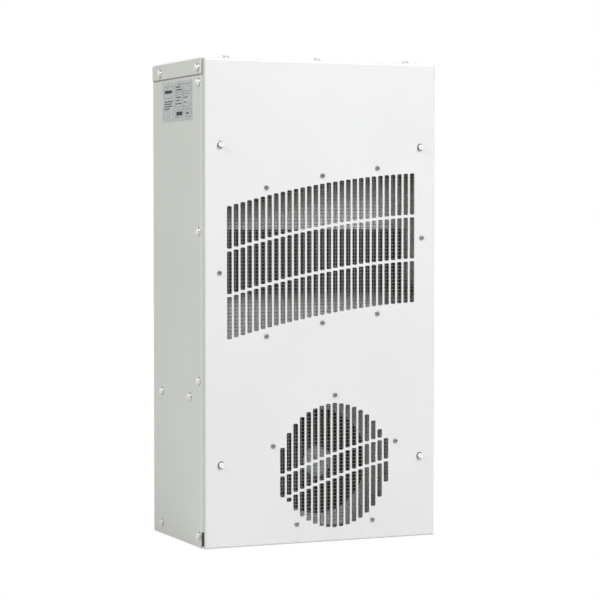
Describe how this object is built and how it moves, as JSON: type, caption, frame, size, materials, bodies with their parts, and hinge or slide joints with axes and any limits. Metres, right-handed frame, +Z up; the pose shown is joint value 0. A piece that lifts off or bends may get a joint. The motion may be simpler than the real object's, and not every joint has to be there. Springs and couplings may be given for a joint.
{
  "type": "enclosure heat exchanger",
  "caption": "Tall closed-loop enclosure air-to-air heat exchanger: light sheet-metal case, curved and round slotted grilles, folded core and two axial fans.",
  "frame": {"origin": "in the rear gasket's outer face, at the middle of the case's width and height", "axes": "+Z up along the case's height, +Y out of the rear mounting face, +X to the right seen from the front"},
  "size_m": [0.318, 0.1883, 0.5881],
  "materials": {
    "cover_white": "satin white powder coat",
    "case_grey": "satin light grey powder coat",
    "inner_sheet": "light grey painted inner sheet",
    "galvanised": "galvanised sheet",
    "wire_cloth": "dark woven steel wire cloth",
    "zinc_fastener": "zinc plated steel",
    "bright_screw": "bright plated screw heads",
    "spring_steel": "dark phosphated spring steel",
    "label_foil": "satin printed metal foil, no lettering",
    "core_foil": "black epoxy coated aluminium foil",
    "foam_black": "closed-cell black foam",
    "fan_black": "black glass-filled plastic",
    "fan_frame_metal": "black coated aluminium die casting",
    "bearing_steel": "polished bearing steel",
    "motor_core": "stacked electrical sheet",
    "copper_wire": "enamelled copper winding",
    "guard_chrome": "bright plated wire",
    "insert_steel": "yellow passivated steel",
    "block_plastic": "off-white terminal plastic",
    "lead_black": "black sheathed lead",
    "clip_nylon": "natural nylon",
    "comb_plastic": "dark moulded plastic"
  },
  "bodies": {
    "housing": {"front_cover": "cover_white", "left_side_panel": "case_grey", "right_side_panel": "case_grey", "rear_panel": "case_grey", "top_cap": "case_grey", "bottom_pan": "case_grey", "rating_plate": "label_foil", "upper_screen": "wire_cloth", "lower_screen": "wire_cloth", "grille_screws": "zinc_fastener", "screen_nuts": "zinc_fastener", "front_cover_screws": "bright_screw", "cover_standoffs": "zinc_fastener", "standoff_screws": "zinc_fastener", "side_screws": "bright_screw", "cap_screws": "bright_screw", "speed_nuts": "spring_steel", "inner_partition": "inner_sheet", "flow_baffle": "inner_sheet", "baffle_seal": "foam_black", "core_shelf": "inner_sheet", "lower_divider": "inner_sheet", "rear_divider": "inner_sheet", "heat_exchanger_core": "core_foil", "core_comb": "comb_plastic", "core_left_plate": "galvanised", "core_right_plate": "galvanised", "core_top_cap": "galvanised", "core_rear_plate": "galvanised", "core_front_seal": "foam_black", "core_rear_seal": "foam_black", "core_side_seals": "foam_black", "ambient_fan_frame": "fan_frame_metal", "ambient_fan_bearings": "bearing_steel", "ambient_fan_stator": "motor_core", "ambient_fan_winding": "copper_wire", "ambient_fan_label": "label_foil", "ambient_fan_screws": "zinc_fastener", "enclosure_fan_frame": "fan_frame_metal", "enclosure_fan_bearings": "bearing_steel", "enclosure_fan_stator": "motor_core", "enclosure_fan_winding": "copper_wire", "enclosure_fan_label": "label_foil", "enclosure_fan_screws": "zinc_fastener", "enclosure_fan_guard": "guard_chrome", "rear_gasket": "foam_black", "mounting_inserts": "insert_steel", "rear_rivets": "zinc_fastener", "cable_grommet": "lead_black", "terminal_block": "block_plastic", "earth_stud": "insert_steel", "ambient_fan_lead": "lead_black", "enclosure_fan_lead": "lead_black", "lead_grommets": "lead_black", "lead_clips": "clip_nylon"},
    "ambient_fan": {"ambient_fan_rotor": "fan_black", "ambient_fan_shaft": "bearing_steel"},
    "enclosure_fan": {"enclosure_fan_rotor": "fan_black", "enclosure_fan_shaft": "bearing_steel"}
  },
  "joints": [
    {"name": "ambient_fan_spin", "type": "hinge", "parent": "housing", "child": "ambient_fan", "pos_m": [0.0167, -0.1143, -0.1991], "axis": [0, 1, 0], "continuous": true},
    {"name": "enclosure_fan_spin", "type": "hinge", "parent": "housing", "child": "enclosure_fan", "pos_m": [0, -0.0255, 0.1879], "axis": [0, 1, 0], "continuous": true}
  ]
}
